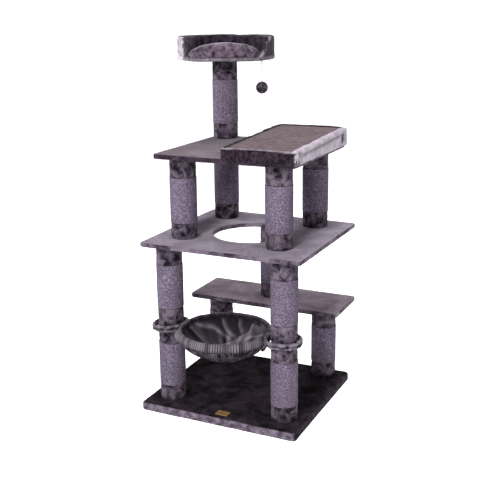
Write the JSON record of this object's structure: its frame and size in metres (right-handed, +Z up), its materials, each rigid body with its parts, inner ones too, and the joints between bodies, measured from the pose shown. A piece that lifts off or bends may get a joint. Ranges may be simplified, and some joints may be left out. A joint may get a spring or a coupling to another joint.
{
  "type": "cat tree",
  "caption": "Tall cat tree: sisal posts carry plush boards, a climbing hole, a padded lounger and a walled top bed, with a round hammock and a hanging pompom.",
  "frame": {"origin": "middle of the base's underside, on the floor", "axes": "+Z up, +X to the right seen from the hammock side, +Y to the back"},
  "size_m": [0.837, 0.9029, 1.664],
  "materials": {
    "post_tube": "matte spiral-wound cardboard",
    "sisal_rope": "matte twisted sisal rope, wound closely",
    "cuff_plush": "short plush with a mottled nap",
    "board_wood": "raw pressed board",
    "stud_steel": "zinc-plated",
    "base_plush": "dark short plush with a mottled nap",
    "shelf_plush": "short plush with a mottled nap",
    "platform_plush": "short plush with a soft nap",
    "lounger_plush": "short plush, padded",
    "mat_pile": "flat ribbed pile mat",
    "bed_plush": "short plush, padded",
    "rod_steel": "black powder coat",
    "hammock_velour": "soft velour, gathered",
    "wire_steel": "bright wire",
    "toy_elastic": "thin braided elastic",
    "pompom_yarn": "fluffy cut yarn",
    "label_metal": "satin, blank"
  },
  "bodies": {
    "stand": {"tube_front_left_lower": "post_tube", "tube_front_left_mid": "post_tube", "tube_front_right_lower": "post_tube", "tube_front_right_mid": "post_tube", "tube_rear_left_short": "post_tube", "tube_rear_right_short": "post_tube", "tube_rear_middle": "post_tube", "tube_upper_front_left": "post_tube", "tube_upper_front_right": "post_tube", "tube_upper_rear_left": "post_tube", "tube_upper_rear_right": "post_tube", "tube_top": "post_tube", "sisal_front_left_lower": "sisal_rope", "sisal_front_left_mid": "sisal_rope", "sisal_front_right_lower": "sisal_rope", "sisal_front_right_mid": "sisal_rope", "sisal_rear_left_short": "sisal_rope", "sisal_rear_right_short": "sisal_rope", "sisal_rear_middle": "sisal_rope", "sisal_upper_front_left": "sisal_rope", "sisal_upper_front_right": "sisal_rope", "sisal_upper_rear_left": "sisal_rope", "sisal_upper_rear_right": "sisal_rope", "sisal_top": "sisal_rope", "cuffs_front_left_lower": "cuff_plush", "cuffs_front_left_mid": "cuff_plush", "cuffs_front_right_lower": "cuff_plush", "cuffs_front_right_mid": "cuff_plush", "cuffs_rear_left_short": "cuff_plush", "cuffs_rear_right_short": "cuff_plush", "cuffs_rear_middle": "cuff_plush", "cuffs_upper_front_left": "cuff_plush", "cuffs_upper_front_right": "cuff_plush", "cuffs_upper_rear_left": "cuff_plush", "cuffs_upper_rear_right": "cuff_plush", "cuffs_top": "cuff_plush", "post_end_plugs": "board_wood", "joining_studs": "stud_steel", "base_board": "board_wood", "base_cover": "base_plush", "label_plate": "label_metal", "lower_shelf_board": "board_wood", "lower_shelf_cover": "shelf_plush", "main_platform_board": "board_wood", "main_platform_cover": "platform_plush", "upper_platform_board": "board_wood", "upper_platform_cover": "platform_plush", "lounger_frame": "board_wood", "lounger_cover": "lounger_plush", "lounger_mat": "mat_pile", "bed_board": "board_wood", "bed_walls": "bed_plush", "bed_bolster": "bed_plush", "bed_pad": "bed_plush", "hammock_frame": "rod_steel", "hammock_fabric": "hammock_velour", "toy_hook": "wire_steel"},
    "toy_swivel": {"toy_link": "wire_steel"},
    "toy": {"toy_cord": "toy_elastic", "toy_pompom": "pompom_yarn"}
  },
  "joints": [
    {"name": "toy_swing_front", "type": "hinge", "parent": "stand", "child": "toy_swivel", "pos_m": [-0.062, 0.306, 1.5475], "axis": [1, 0, 0], "range_deg": [-28, 50]},
    {"name": "toy_swing_side", "type": "hinge", "parent": "toy_swivel", "child": "toy", "pos_m": [-0.062, 0.306, 1.5408], "axis": [0, 1, 0], "range_deg": [-50, 28]}
  ]
}
